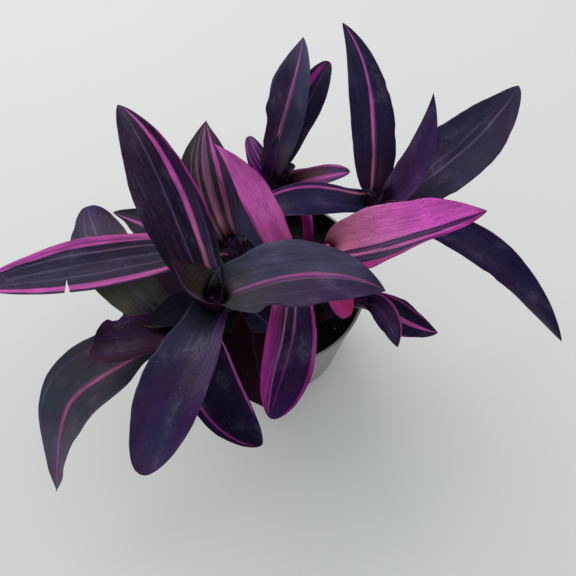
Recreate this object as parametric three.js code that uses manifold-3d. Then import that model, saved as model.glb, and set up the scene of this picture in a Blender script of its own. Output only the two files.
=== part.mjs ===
// A potted tradescantia: a tapered pot filled with soil, and eight leafy stems with long strap leaves.
// Millimetres, +Z up, origin at the centre of the pot's base on the surface that it stands on.

import * as THREE from 'three';
import { mergeVertices } from 'three/addons/utils/BufferGeometryUtils.js';
import Module from 'manifold-3d';

const wasm = await Module();
wasm.setup();

// Pot
const POT_HEIGHT = 92;
const RIM_RADIUS = 50;
const BASE_RADIUS = 42;
const POT_WALL = 1.8;
const POT_FLOOR = 2.4;
const LIP_HEIGHT = 5;
const LIP_STEP = 0.8;
const BASE_EDGE = 1.2;
const POT_SIDES = 72;

// Soil
const FIT_GAP = 0.3;
const SOIL_TOP = 79.4;
const SOIL_SINK = 1.2;
const SOIL_SIDES = 48;

// Stems
const STEM_RADIUS = 3;
const STEM_SIDES = 8;
const STEM_RINGS = 7;
const STEM_FOOT = 66;
const HOLE_SIDES = 16;
const TOP_SHRINK = 0.7;

// Leaf blades
const BLADE_THICKNESS = 0.72;
const LONG_LEAF = 45;
const CELLS_LONG = 13;
const CELLS_SHORT = 8;
const CELLS_ACROSS = 4;
const LINE_SAMPLES = 100;
const STEER = 0.06;
const LEAD = 12;
const ROOT_DEPTH = 3;
const ROOT_RADIUS = 1.8;
const BASE_CURL = 1.6;
const BASE_WIDTH = 3.9;
const BASE_START = 2.7;
const BASE_END = 20;
const CURL_RADIUS = 0.8;
const RIPPLE = 0.7;
const RIPPLE_WAVES = 2.3;
const RIPPLE_SHIFT = 2.4;

// Each stem: where it leaves the soil, a point that bends it, and its top.
const STEMS = {
  front: [[-8, -14, 80], [-14, -28, 120], [-24, -40, 160]],
  left: [[-20, -14, 80], [-30, -26, 108], [-45, -39, 126]],
  middle: [[8, -2, 80], [8, -6, 110], [5, -10, 140]],
  centre: [[-14, 8, 80], [-16, 4, 110], [-20, -2, 138]],
  back: [[17, 22, 80], [23, 32, 118], [1, 32, 134]],
  right_back: [[22, 9, 80], [32, 14, 124], [55, 16, 142]],
  right: [[20, -10, 80], [22, -8, 112], [25, -6, 138]],
  right_low: [[26, -20, 80], [32, -20, 108], [43, -21, 114]],
};

// Each leaf: stem, place on it (0 to 1), heading in degrees, reach outward and climb of the tip,
// height of its arch, sideways bow (to the left of the heading), width, and what shapes it further:
// tip (lower is blunter), widest (place of the widest part), neck (width at the base),
// cup (trough across), pull and crest (sharpness and place of the arch), lead (run up the stem).
const LEAVES = [
  { stem: 'front', at: 1, heading: 119, reach: 79, climb: 40, arch: 12, bow: -2, wide: 26, tip: 0.75 },
  { stem: 'front', at: 1, heading: 2, reach: 72, climb: 3, arch: 12, bow: 7, wide: 31, tip: 0.85 },
  { stem: 'front', at: 0.95, heading: -110, reach: 77, climb: 2, arch: 10, bow: 2, wide: 26, tip: 0.5, widest: 0.58, neck: 0.4 },
  { stem: 'front', at: 1, heading: 160, reach: 15, climb: 26, arch: 0, bow: 0, wide: 20, cup: 1.2 },
  { stem: 'front', at: 0.8, heading: -164, reach: 36, climb: 2, arch: 5, bow: 0, wide: 18 },
  { stem: 'front', at: 0.22, heading: -80, reach: 50, climb: -20, arch: 10, bow: -4, wide: 26 },
  { stem: 'front', at: 0.45, heading: -39, reach: 17, climb: -4, arch: 6, bow: 0, wide: 20 },
  { stem: 'left', at: 1, heading: 129, reach: 75, climb: 10, arch: 10, bow: 9, wide: 28, tip: 0.5, widest: 0.6 },
  { stem: 'left', at: 1, heading: -164, reach: 39, climb: 4, arch: 8, bow: 7, wide: 25, tip: 0.45, widest: 0.7, neck: 0.35, cup: 0.8 },
  { stem: 'left', at: 0.7, heading: -135, reach: 110, climb: -52, arch: 24, bow: -12, wide: 33, pull: 4, crest: 0.65, widest: 0.48, neck: 0.25, tip: 1.15 },
  { stem: 'left', at: 0.75, heading: -176, reach: 34, climb: 10, arch: 4, bow: 0, wide: 17, tip: 0.6 },
  { stem: 'left', at: 0.6, heading: -65, reach: 65, climb: -32, arch: 10, bow: -14, wide: 28, tip: 0.62 },
  { stem: 'centre', at: 0.9, heading: -166, reach: 119, climb: 16, arch: 8, bow: 3, wide: 27, widest: 0.56, neck: 0.4 },
  { stem: 'centre', at: 0.6, heading: 163, reach: 69, climb: 9, arch: 8, bow: 0, wide: 20 },
  { stem: 'centre', at: 1, heading: 103, reach: 48, climb: 32, arch: 8, bow: 5, wide: 20, widest: 0.55, tip: 0.95 },
  { stem: 'centre', at: 0.5, heading: 109, reach: 21, climb: -2, arch: 4, bow: 0, wide: 16 },
  { stem: 'middle', at: 1, heading: 133, reach: 43, climb: 44, arch: 8, bow: -3, wide: 16, neck: 0.65, tip: 1 },
  { stem: 'middle', at: 0.6, heading: 126, reach: 54, climb: 16, arch: 2, bow: 2, wide: 15 },
  { stem: 'middle', at: 0.75, heading: -96, reach: 72, climb: -20, arch: 16, bow: 9, wide: 25, tip: 0.6, widest: 0.62, neck: 0.35 },
  { stem: 'back', at: 1, heading: 74, reach: 47, climb: 54, arch: 8, bow: -2, wide: 21, widest: 0.5 },
  { stem: 'back', at: 0.95, heading: 61, reach: 48, climb: 44, arch: 6, bow: 2, wide: 18, tip: 0.5, widest: 0.6 },
  { stem: 'back', at: 0.8, heading: 133, reach: 31, climb: 19, arch: 6, bow: 6, wide: 13, tip: 0.5 },
  { stem: 'back', at: 0.85, heading: -3, reach: 30, climb: 21, arch: 5, bow: 1, wide: 12, tip: 0.5 },
  { stem: 'back', at: 1, heading: 78, reach: 8, climb: 32, arch: 0, bow: 0, wide: 9, cup: 1 },
  { stem: 'back', at: 0.8, heading: 50, reach: 3, climb: 22, arch: 3, bow: 3, wide: 12, tip: 0.6 },
  { stem: 'right_back', at: 0.85, heading: -172, reach: 60, climb: 15, arch: 11, bow: -2, wide: 18, widest: 0.6, tip: 0.6 },
  { stem: 'right_back', at: 0.92, heading: 106, reach: 71, climb: 51, arch: 8, bow: -7, wide: 20, lead: 1, neck: 0.75 },
  { stem: 'right_back', at: 1, heading: 63, reach: 35, climb: 44, arch: 2, bow: -6, wide: 18, cup: 0.9, widest: 0.3, tip: 1, neck: 0.8 },
  { stem: 'right_back', at: 1, heading: 40, reach: 83, climb: 23, arch: 4, bow: -9, wide: 29, tip: 0.72, widest: 0.5, neck: 0.7 },
  { stem: 'right_back', at: 0.85, heading: -32, reach: 110, climb: -24, arch: 22, bow: 8, wide: 18 },
  { stem: 'right', at: 1, heading: 7, reach: 72, climb: 22, arch: 15, bow: -9, wide: 30, widest: 0.4, neck: 0.6 },
  { stem: 'right', at: 0.7, heading: -61, reach: 27, climb: -9, arch: 6, bow: 0, wide: 14, cup: 0.7, tip: 0.45, widest: 0.6 },
  { stem: 'right_low', at: 1, heading: -19, reach: 43, climb: -12, arch: 3, bow: -5, wide: 18 },
  { stem: 'right_low', at: 1, heading: -52, reach: 30, climb: -6, arch: 8, bow: 2, wide: 14, cup: 0.9 },
];

const UP = new THREE.Vector3(0, 0, 1);

function vec(point) {
  return new THREE.Vector3(...point);
}

function smooth(from, to, x) {
  return THREE.MathUtils.smoothstep(x, from, to);
}

function toManifold(geometry) {
  const plain = geometry.index ? geometry.clone() : geometry;
  plain.deleteAttribute('normal');
  plain.deleteAttribute('uv');
  const merged = mergeVertices(plain, 1e-4);
  const vertProperties = new Float32Array(merged.attributes.position.array);
  const triVerts = new Uint32Array(merged.index.array);
  return new wasm.Manifold(new wasm.Mesh({ numProp: 3, vertProperties, triVerts }));
}

function toGeometry(solid) {
  const mesh = solid.getMesh();
  const geometry = new THREE.BufferGeometry();
  geometry.setAttribute('position', new THREE.BufferAttribute(new Float32Array(mesh.vertProperties), 3));
  geometry.setIndex(new THREE.BufferAttribute(new Uint32Array(mesh.triVerts), 1));
  geometry.computeVertexNormals();
  return geometry;
}

// A lathe turned so that its axis is +Z. The profile is a list of [radius, height].
function turned(profile, sides) {
  const points = profile.map(([radius, height]) => new THREE.Vector2(radius, height));
  return new THREE.LatheGeometry(points, sides).rotateX(Math.PI / 2);
}

function potGeometry() {
  const lipFoot = POT_HEIGHT - LIP_HEIGHT;
  const slope = (RIM_RADIUS - BASE_RADIUS) / POT_HEIGHT;
  const outer = (height) => BASE_RADIUS + slope * height;
  return turned([
    [0, 0],
    [outer(0) - BASE_EDGE, 0],
    [outer(BASE_EDGE) - LIP_STEP / 2, BASE_EDGE],
    [outer(lipFoot) - LIP_STEP, lipFoot - LIP_STEP],
    [outer(lipFoot), lipFoot],
    [RIM_RADIUS, POT_HEIGHT - 0.6],
    [RIM_RADIUS - 0.6, POT_HEIGHT],
    [RIM_RADIUS - POT_WALL + 0.4, POT_HEIGHT],
    [outer(POT_FLOOR) - POT_WALL - LIP_STEP, POT_FLOOR],
    [0, POT_FLOOR],
  ], POT_SIDES);
}

function soilRadius(height) {
  const low = BASE_RADIUS + (RIM_RADIUS - BASE_RADIUS) / POT_HEIGHT * POT_FLOOR - POT_WALL - LIP_STEP;
  const high = RIM_RADIUS - POT_WALL + 0.4;
  const share = (height - POT_FLOOR) / (POT_HEIGHT - POT_FLOOR);
  return low + (high - low) * share - FIT_GAP;
}

function soilGeometry() {
  const foot = POT_FLOOR + FIT_GAP;
  const edge = SOIL_TOP - SOIL_SINK;
  let soil = toManifold(turned([
    [0, foot],
    [soilRadius(foot) - 0.1, foot],
    [soilRadius(edge) - 0.1, edge],
    [soilRadius(edge) * 0.7, edge + SOIL_SINK * 0.6],
    [soilRadius(edge) * 0.35, SOIL_TOP - 0.1],
    [0, SOIL_TOP],
  ], SOIL_SIDES));
  const holeRadius = (STEM_RADIUS + FIT_GAP) / Math.cos(Math.PI / HOLE_SIDES);
  for (const [start] of Object.values(STEMS)) {
    const depth = POT_HEIGHT - STEM_FOOT + FIT_GAP;
    const hole = new THREE.CylinderGeometry(holeRadius, holeRadius, depth, HOLE_SIDES);
    hole.rotateX(Math.PI / 2).translate(start[0], start[1], STEM_FOOT - FIT_GAP + depth / 2);
    soil = soil.subtract(toManifold(hole));
  }
  return toGeometry(soil);
}

function stemCurve(name) {
  return new THREE.QuadraticBezierCurve3(...STEMS[name].map(vec));
}

// A stem is a tube with a straight foot in the soil and rings square to its curve above it.
function stemGeometry(name) {
  const curve = stemCurve(name);
  const rings = [
    { centre: vec(STEMS[name][0]).setZ(STEM_FOOT), axis: UP, radius: STEM_RADIUS },
    { centre: vec(STEMS[name][0]), axis: UP, radius: STEM_RADIUS },
  ];
  for (let i = 1; i <= STEM_RINGS; i++) {
    const t = i / STEM_RINGS;
    const radius = STEM_RADIUS * (1 - (1 - TOP_SHRINK) * t ** 3);
    rings.push({ centre: curve.getPoint(t), axis: curve.getTangent(t), radius });
  }
  const points = [];
  const faces = [];
  for (const { centre, axis, radius } of rings) {
    const right = new THREE.Vector3(1, 0, 0).addScaledVector(axis, -axis.x).normalize();
    const ahead = axis.clone().cross(right);
    for (let k = 0; k < STEM_SIDES; k++) {
      const angle = 2 * Math.PI * k / STEM_SIDES;
      const point = centre.clone().addScaledVector(right, radius * Math.cos(angle));
      points.push(...point.addScaledVector(ahead, radius * Math.sin(angle)).toArray());
    }
  }
  for (let i = 0; i < rings.length - 1; i++) {
    for (let k = 0; k < STEM_SIDES; k++) {
      const next = (k + 1) % STEM_SIDES;
      const [a, b] = [i * STEM_SIDES + k, i * STEM_SIDES + next];
      const [c, d] = [a + STEM_SIDES, b + STEM_SIDES];
      faces.push(a, b, d, a, d, c);
    }
  }
  const last = (rings.length - 1) * STEM_SIDES;
  for (let k = 1; k < STEM_SIDES - 1; k++) {
    faces.push(0, k + 1, k, last, last + k, last + k + 1);
  }
  return indexed(points, faces);
}

function indexed(points, faces) {
  const geometry = new THREE.BufferGeometry();
  geometry.setAttribute('position', new THREE.Float32BufferAttribute(points, 3));
  geometry.setIndex(faces);
  return geometry;
}

// The leaf's middle line, with the direction to its right-hand edge carried along it.
function leafLine(leaf) {
  const stem = stemCurve(leaf.stem);
  const centre = stem.getPoint(leaf.at);
  const axis = stem.getTangent(leaf.at);
  const heading = THREE.MathUtils.degToRad(leaf.heading);
  const out = new THREE.Vector3(Math.cos(heading), Math.sin(heading), 0);
  const left = new THREE.Vector3(-out.y, out.x, 0);
  const away = out.clone().addScaledVector(axis, -out.dot(axis)).normalize();
  const root = centre.clone().addScaledVector(away, ROOT_RADIUS).addScaledVector(axis, -ROOT_DEPTH);
  const lead = root.clone().addScaledVector(axis, leaf.lead ?? LEAD);
  const tip = centre.clone().addScaledVector(out, leaf.reach).addScaledVector(UP, leaf.climb);
  const bend = centre.clone().lerp(tip, leaf.crest ?? 0.5);
  bend.addScaledVector(UP, leaf.arch * 1.6).addScaledVector(left, leaf.bow * 1.6);
  const pull = leaf.pull ?? 1;
  const samples = [];
  for (let k = 0; k < LINE_SAMPLES; k++) {
    const t = k / (LINE_SAMPLES - 1);
    const weights = [(1 - t) ** 3, 3 * t * (1 - t) ** 2, 3 * t * t * (1 - t) * pull, t ** 3];
    const total = weights.reduce((sum, weight) => sum + weight, 0);
    const point = new THREE.Vector3();
    [root, lead, bend, tip].forEach((end, n) => point.addScaledVector(end, weights[n] / total));
    samples.push({ point, length: k ? samples[k - 1].length + point.distanceTo(samples[k - 1].point) : 0 });
  }
  let side = left.clone().negate();
  samples.forEach((sample, k) => {
    const before = samples[Math.max(0, k - 1)].point;
    const after = samples[Math.min(LINE_SAMPLES - 1, k + 1)].point;
    sample.along = after.clone().sub(before).normalize();
    side = side.clone().addScaledVector(sample.along, -side.dot(sample.along)).normalize();
    const level = new THREE.Vector3(sample.along.y, -sample.along.x, 0);
    side.addScaledVector(level, level.dot(side) >= 0 ? STEER : -STEER);
    side.addScaledVector(sample.along, -side.dot(sample.along)).normalize();
    sample.side = side.clone();
  });
  return samples;
}

function sampleAt(samples, length) {
  const k = Math.max(1, samples.findIndex((sample) => sample.length >= length));
  const [before, after] = [samples[k - 1], samples[k]];
  const share = THREE.MathUtils.clamp((length - before.length) / (after.length - before.length), 0, 1);
  return {
    point: before.point.clone().lerp(after.point, share),
    along: before.along.clone().lerp(after.along, share).normalize(),
    side: before.side.clone().lerp(after.side, share).normalize(),
  };
}

function halfWidth(leaf, s) {
  const widest = leaf.widest ?? 0.45;
  const neck = leaf.neck ?? 0.5;
  if (s < widest) {
    return leaf.wide / 2 * (neck + (1 - neck) * Math.sin(Math.PI / 2 * s / widest) ** 1.2);
  }
  const past = (s - widest) / (1 - widest);
  return leaf.wide / 2 * Math.max(0.03, Math.max(0, Math.cos(Math.PI / 2 * past)) ** (leaf.tip ?? 0.8));
}

// A leaf is a thin closed blade: rows of points across it, curled round the stem at the base,
// troughed and gently rippled further out, with both faces split into triangles alike.
function leafGeometry(leaf, index) {
  const samples = leafLine(leaf);
  const long = samples[LINE_SAMPLES - 1].length;
  const rows = long > LONG_LEAF ? CELLS_LONG : CELLS_SHORT;
  const points = [];
  for (let i = 0; i <= rows; i++) {
    const s = i / rows;
    const { point, along, side } = sampleAt(samples, s * long);
    const normal = side.clone().cross(along);
    const blade = smooth(BASE_START, BASE_END, s * long);
    const width = THREE.MathUtils.lerp(BASE_WIDTH, halfWidth(leaf, s), blade);
    const curl = Math.min(THREE.MathUtils.lerp(BASE_CURL, leaf.cup ?? 0.4, blade), width / CURL_RADIUS);
    const radius = width / curl;
    const wave = RIPPLE * leaf.wide / 28 * blade * (1 - s ** 4);
    for (let j = 0; j <= CELLS_ACROSS; j++) {
      const u = 2 * j / CELLS_ACROSS - 1;
      const turn = 2 * Math.PI * RIPPLE_WAVES * s + RIPPLE_SHIFT * index + (u > 0 ? Math.PI * 0.7 : 0);
      const centre = point.clone().addScaledVector(side, radius * Math.sin(curl * u));
      centre.addScaledVector(normal, radius * (1 - Math.cos(curl * u)) + wave * u * u * Math.sin(turn));
      const square = normal.clone().multiplyScalar(Math.cos(curl * u));
      square.addScaledVector(side, -Math.sin(curl * u)).multiplyScalar(BLADE_THICKNESS / 2);
      points.push(...centre.clone().add(square).toArray(), ...centre.sub(square).toArray());
    }
  }
  const faces = [];
  const top = (i, j) => 2 * (i * (CELLS_ACROSS + 1) + j);
  const low = (i, j) => top(i, j) + 1;
  const quad = (a, b, c, d) => faces.push(a, b, c, a, c, d);
  for (let i = 0; i < rows; i++) {
    for (let j = 0; j < CELLS_ACROSS; j++) {
      const [a, b, c, d] = [[i, j], [i, j + 1], [i + 1, j + 1], [i + 1, j]];
      faces.push(top(...a), top(...b), top(...c), top(...a), top(...c), top(...d));
      faces.push(low(...a), low(...c), low(...b), low(...a), low(...d), low(...c));
    }
    quad(top(i, 0), top(i + 1, 0), low(i + 1, 0), low(i, 0));
    quad(low(i, CELLS_ACROSS), low(i + 1, CELLS_ACROSS), top(i + 1, CELLS_ACROSS), top(i, CELLS_ACROSS));
  }
  for (let j = 0; j < CELLS_ACROSS; j++) {
    quad(top(0, j), low(0, j), low(0, j + 1), top(0, j + 1));
    quad(top(rows, j), top(rows, j + 1), low(rows, j + 1), low(rows, j));
  }
  return indexed(points, faces);
}

// The stem with its leaves fused on. Only the outer shell is kept, which fills what the blades close in.
function leafyStemGeometry(name) {
  let solid = toManifold(stemGeometry(name));
  LEAVES.forEach((leaf, index) => {
    if (leaf.stem === name) {
      solid = solid.add(toManifold(leafGeometry(leaf, index)));
    }
  });
  const shells = solid.decompose().sort((a, b) => b.volume() - a.volume());
  return toGeometry(shells[0]);
}

const potMaterial = new THREE.MeshStandardMaterial({ color: 0x7d8078, roughness: 0.55, metalness: 0 });
const soilMaterial = new THREE.MeshStandardMaterial({ color: 0x17120f, roughness: 0.95, metalness: 0 });
const leafMaterial = new THREE.MeshStandardMaterial({ color: 0x3f3350, roughness: 0.5, metalness: 0 });

function piece(name, geometry, material) {
  const mesh = new THREE.Mesh(geometry, material);
  mesh.name = name;
  return mesh;
}

const plant = new THREE.Group();
plant.add(piece('pot', potGeometry(), potMaterial));
plant.add(piece('soil', soilGeometry(), soilMaterial));
for (const name of Object.keys(STEMS)) {
  plant.add(piece(`leafy_stem_${name}`, leafyStemGeometry(name), leafMaterial));
}

export default plant;
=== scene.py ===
"""A potted tradescantia: fine leaves, stems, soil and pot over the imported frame."""
import math

import bpy
import numpy as np
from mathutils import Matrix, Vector, noise


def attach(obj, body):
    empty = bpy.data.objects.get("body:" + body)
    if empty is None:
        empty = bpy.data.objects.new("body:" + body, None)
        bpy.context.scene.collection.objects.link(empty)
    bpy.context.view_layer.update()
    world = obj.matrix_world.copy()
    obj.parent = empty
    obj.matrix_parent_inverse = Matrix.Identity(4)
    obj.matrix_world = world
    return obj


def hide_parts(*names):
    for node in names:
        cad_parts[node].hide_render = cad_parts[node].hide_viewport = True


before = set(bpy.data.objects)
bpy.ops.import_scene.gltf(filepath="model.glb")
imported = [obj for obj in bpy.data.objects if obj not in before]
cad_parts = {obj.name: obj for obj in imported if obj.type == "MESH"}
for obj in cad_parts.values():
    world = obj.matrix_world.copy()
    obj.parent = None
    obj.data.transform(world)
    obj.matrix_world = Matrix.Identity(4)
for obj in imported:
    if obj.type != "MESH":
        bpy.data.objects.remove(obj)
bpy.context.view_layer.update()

MM = 0.001
SEED = 11

# Pot, in millimetres. The steps go outward and up, from the edge of the base and from under the lip.
POT_HEIGHT = 92
RIM_RADIUS = 50
BASE_RADIUS = 42
POT_WALL = 1.8
POT_FLOOR = 2.4
LIP_HEIGHT = 5
LIP_STEP = 0.8
BASE_EDGE = 1.2
POT_SIDES = 256
WALL_ROWS = 24
INSIDE_ROWS = 20
ARC_POINTS = 5
OUTER_BEAD = 0.6
INNER_BEAD = 0.3
RIM_INSET = 0.4
BASE_STEPS = ((0, 0), (0.5, 0.25), (0.75, 0.7))
LIP_STEPS = ((-0.25, -0.35), (0, 0.1))
AXIS_HOLE = 0.01

# Soil. Its side has rings at the foot, SOIL_BELT over it and SOIL_SHOULDER under the top. SOIL_SLACK
# and SOIL_EDGE keep it off the wall, and SOIL_DIP is how far under the top its edge is measured.
SOIL_TOP = 79.4
SOIL_SINK = 1.2
SOIL_SETTLE = 0.7
SOIL_DIP = 2
SOIL_BELT = 30
SOIL_SHOULDER = 5
SOIL_SLACK = 0.997
SOIL_EDGE = 0.15
SOIL_CENTRE = 0.02
SOIL_RINGS = 90
RING_CROWDING = 0.75
SOIL_SIDES = 256
FIT_GAP = 0.3

# Lumps of the soil's top: their height, the scale and slice of the noise, and its roughness, step
# between layers and number of layers
LUMP_HEIGHT = 0.9
LUMP_SCALE = 0.09
LUMP_SLICE = 3
LUMP_NOISE = (0.7, 2.1, 5)

# Grains on the soil: how many to the square metre, and their smallest and largest radius in metres
CRUMBS = (300000, 0.0005, 0.0013)
PERLITE = (5000, 0.0004, 0.0008)
FLATTEST = (0.6, 0.6, 0.35)
ROUNDEST = (1.2, 1, 0.8)
GRAIN_WOBBLE = 1.3
FULL_TURN = 6.28
SHEET_STEP = 1.2
STEM_CLEARANCE = 1.6

# Stems
STEM_RADIUS = 3
STEM_SIDES = 28
STEM_RINGS = 70
STEM_FOOT = 66
FOOT_SHRINK = 0.98
TOP_SHRINK = 0.7
TIP_LENGTH = 5
FOOT_ROWS = 5
TIP_ROWS = 6
TIP_LEAST = 0.001
NODE_SWELL = 0.16
NODE_SPREAD = 1.6
GROOVE_DEPTH = 0.12
GROOVE_SHARPNESS = 4

# Leaf blades. A dent with a half length below TEAR_SIZE is a tear, and gets rows of its own.
ROWS_PER_MM = 1.1
LEAST_ROWS = 12
ROW_SPREAD = 0.9
TIP_CROWDING = 1.15
CELLS_ACROSS = 26
TEAR_SIZE = 2
TEAR_ROWS = 11
TEAR_REACH = 1.5
BLADE_THICKNESS = 0.62
EDGE_THICKNESS = 0.1
TIP_THINNESS = 0.45
TIP_SHARE = 0.25
LINE_SAMPLES = 100
STEER = 0.06
BEND_REACH = 1.6
ROOT_DEPTH = 3
ROOT_RADIUS = 1.8
BASE_START = 2.7
BASE_END = 20
NECK_POWER = 1.2
TIP_WIDTH = 0.012
CURL_RADIUS = 0.8
RIPPLE = 0.025
RIPPLE_WAVES = 2.3
RIPPLE_SHIFT = 2.4
RIPPLE_LAG = 0.7
SHEATH_CURL = 2.95
SHEATH_RADIUS = 3.15
SHEATH_STEP = 0.3
SHEATH_END = 13
SHEATH_LEAN = 2
SHEATH_SPREAD = 4
CREASE = 0.35
CREASE_WIDTH = 0.12
EDGE_WOBBLE = 0.96
EDGE_SHIFT = 2.1

# The waves in a leaf's edge: radians per millimetre, share of the shift, and height
EDGE_WAVES = ((0.17, 1, 1), (0.41, 3, 0.6), (0.97, 5, 0.3))

# What shapes a leaf where its row doesn't say: tip (lower is blunter), widest (place of the widest
# part), neck (width at the base), cup (trough across), pull and crest (sharpness and place of the
# arch), lead (run up the stem).
LEAF_SHAPE = dict(tip=0.8, widest=0.45, neck=0.5, cup=0.4, pull=1, crest=0.5, lead=12)

# Steps between the noise of one leaf, underside or stem and that of the next
LEAF_GRAIN = 17
UNDER_GRAIN = 9
STEM_GRAIN = 13

# Each stem: where it leaves the soil, a point that bends it, and its top.
STEMS = {
    "front": ((-8, -14, 80), (-14, -28, 120), (-24, -40, 160)),
    "left": ((-20, -14, 80), (-30, -26, 108), (-45, -39, 126)),
    "middle": ((8, -2, 80), (8, -6, 110), (5, -10, 140)),
    "centre": ((-14, 8, 80), (-16, 4, 110), (-20, -2, 138)),
    "back": ((17, 22, 80), (23, 32, 118), (1, 32, 134)),
    "right_back": ((22, 9, 80), (32, 14, 124), (55, 16, 142)),
    "right": ((20, -10, 80), (22, -8, 112), (25, -6, 138)),
    "right_low": ((26, -20, 80), (32, -20, 108), (43, -21, 114)),
}

# Camera, in metres and degrees
EYE = (0.007, -0.138, 0.403)
TILT = 23
LENS = 38.75
SENSOR = 36

# Lamps: place and size in metres, power, colour, and share in the highlights
LAMPS = {
    "window": ((-0.6, 0.95, 1.25), 1.2, 12, (1, 0.985, 0.96), 1),
    "fill": ((0.7, 0.5, 1.3), 1.4, 4, (0.96, 0.98, 1), 0),
}
ROOM_LIGHT = 0.68
ROOM_COLOUR = (0.93, 0.96, 1, 1)
FLOOR_HALF = 3

# Leaf colours as they look in daylight (red, green, blue out of 255).
SLATE = (38, 30, 56)
STEEL = (48, 44, 70)
INDIGO = (32, 18, 56)
TEAL = (26, 34, 42)
NIGHT = (11, 6, 24)
VIOLET = (68, 46, 88)
DUSK = (52, 28, 70)
PLUM = (56, 20, 78)
OLIVE = (46, 44, 34)
MOSS = (58, 60, 50)
MAROON = (48, 18, 44)
WINE = (36, 6, 28)
PINK = (196, 74, 168)
MAGENTA = (160, 30, 132)
CERISE = (172, 44, 122)
ROSE = (196, 100, 152)
TAN = (176, 128, 130)
PALE = (104, 84, 122)
BROWN = (62, 46, 38)
# Pale blue-grey for painted light and sheen on the leaves that use it
LIT_HAZE = (78, 70, 96)
# Blue-grey for painted sheen in the middle of left_long
SHEEN_PEWTER = (58, 60, 70)
GRAPE = (32, 19, 42)
# Pale olive for painted light on left_up
LIT_LICHEN = (104, 102, 88)
INK = (22, 15, 42)
BERRY = (206, 86, 134)
ORCHID = (208, 84, 160)
FUCHSIA = (204, 78, 180)
DUSTY = (178, 102, 126)
MAUVE = (150, 92, 140)
UMBER = (84, 60, 66)
CLARET = (40, 2, 20)
RIM_TINT = (96, 60, 108)
# Pale tint of the leaves' waxy film and of painted glints
WAX_GLINT_TINT = (150, 142, 160)

# Colours of the rest
POT_GREY = (132, 134, 127)
POT_LIGHT = (148, 150, 142)
# The soil's colours are near black: the soil's own dark colour deepened as painted shade under the leaves
SOIL_DARK_SHADED = (7, 6, 6)
SOIL_BROWN_SHADED = (17, 13, 12)
PERLITE_GREY = (170, 168, 160)
PERLITE_WHITE = (225, 223, 216)
FLOOR_PALE = (217, 218, 214)

# Stem colours from the soil to the top
STEM_TONES = {
    "front": (BROWN, OLIVE, MAROON),
    "left": (BROWN, OLIVE, MAROON),
    "middle": (BROWN, MAROON, PLUM),
    "centre": (BROWN, OLIVE, PLUM),
    "back": (MAROON, MAGENTA, OLIVE),
    "right_back": (BROWN, MAROON, TAN),
    "right": (BROWN, MAROON, ROSE),
    "right_low": (BROWN, MAROON, PLUM),
}

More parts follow.
